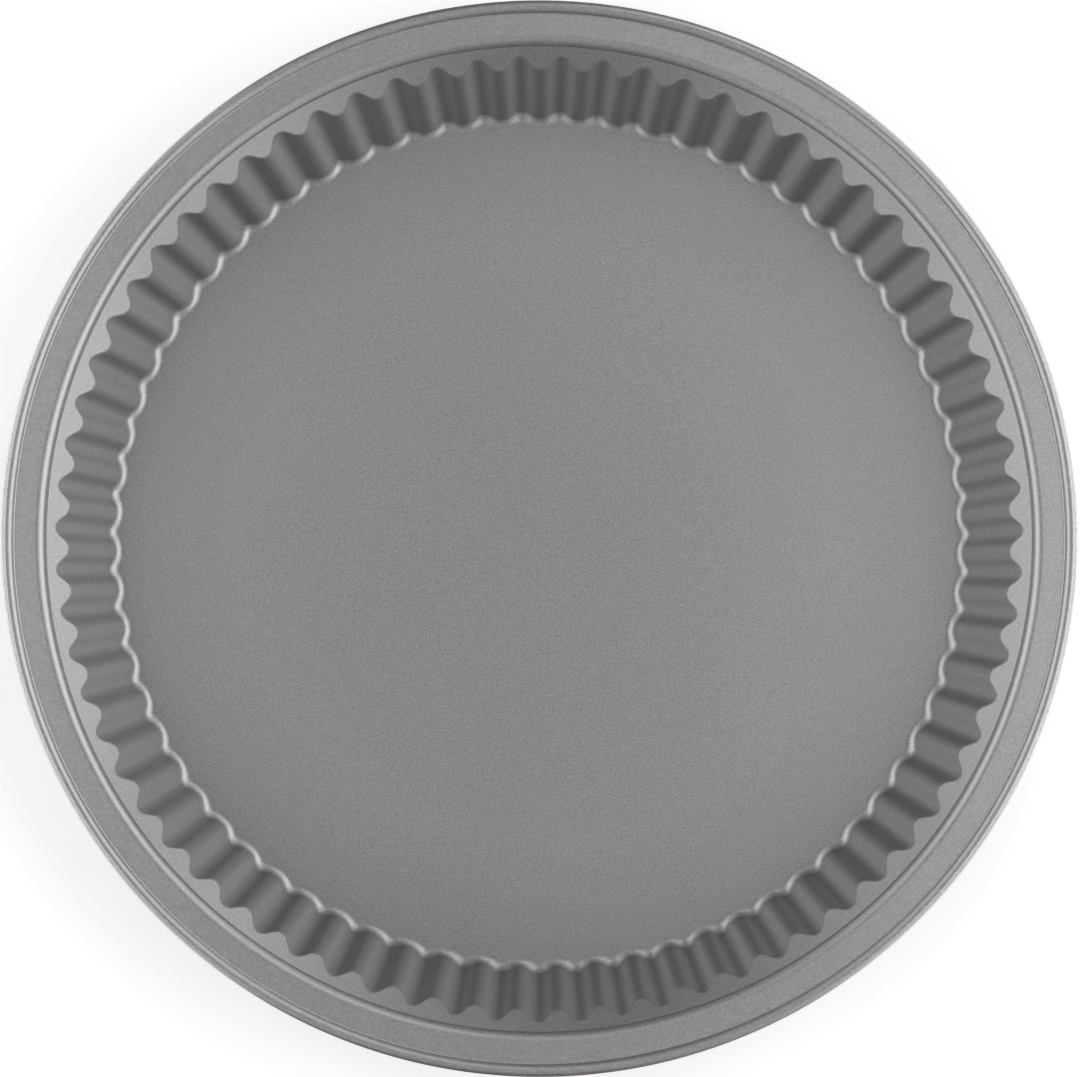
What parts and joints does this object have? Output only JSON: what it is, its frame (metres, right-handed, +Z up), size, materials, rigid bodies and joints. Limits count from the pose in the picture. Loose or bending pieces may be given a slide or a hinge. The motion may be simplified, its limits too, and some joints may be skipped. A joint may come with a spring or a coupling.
{
  "type": "quiche tin",
  "caption": "Round fixed-base quiche tin with a fluted sloping wall, a plain band and step below a flat flange, and a rolled rim.",
  "frame": {"origin": "centre of the underside, on the surface that the tin stands on", "axes": "+Z up along the tin's axis, out of the mouth; X and Y across the mouth"},
  "size_m": [0.292, 0.292, 0.032],
  "materials": {
    "coated_steel": "satin"
  },
  "bodies": {
    "root": {"tin": "coated_steel"}
  },
  "joints": []
}
